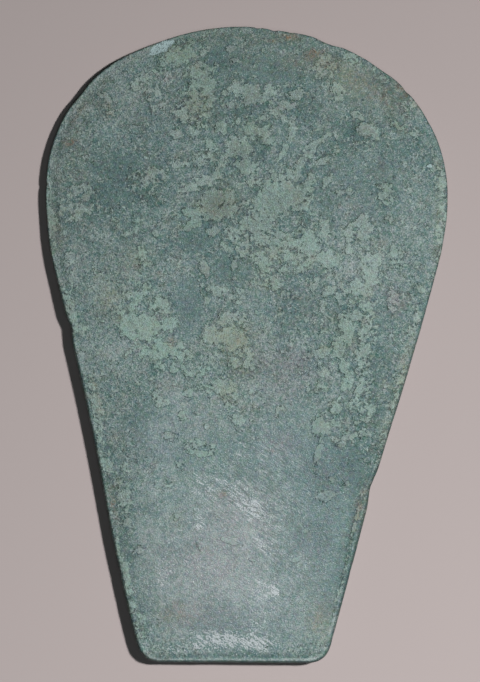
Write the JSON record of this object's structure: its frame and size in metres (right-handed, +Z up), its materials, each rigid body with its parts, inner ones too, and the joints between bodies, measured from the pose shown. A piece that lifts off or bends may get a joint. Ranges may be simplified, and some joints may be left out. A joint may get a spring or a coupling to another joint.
{
  "type": "flat axe head",
  "caption": "Ancient cast bronze flat axe head with a broad rounded blade and straight flanks that narrow to a square butt, lying on its back face.",
  "frame": {"origin": "under the middle of the bounding box, on the surface the axe head lies on", "axes": "+Z up, square to the faces of the axe; +Y from the butt to the cutting edge; +X to the right seen from above with the edge away"},
  "size_m": [0.1264, 0.2, 0.009],
  "materials": {
    "patinated_bronze": "green-grey patina, matt with a worn sheen towards the butt"
  },
  "bodies": {
    "root": {"axe_head": "patinated_bronze"}
  },
  "joints": []
}
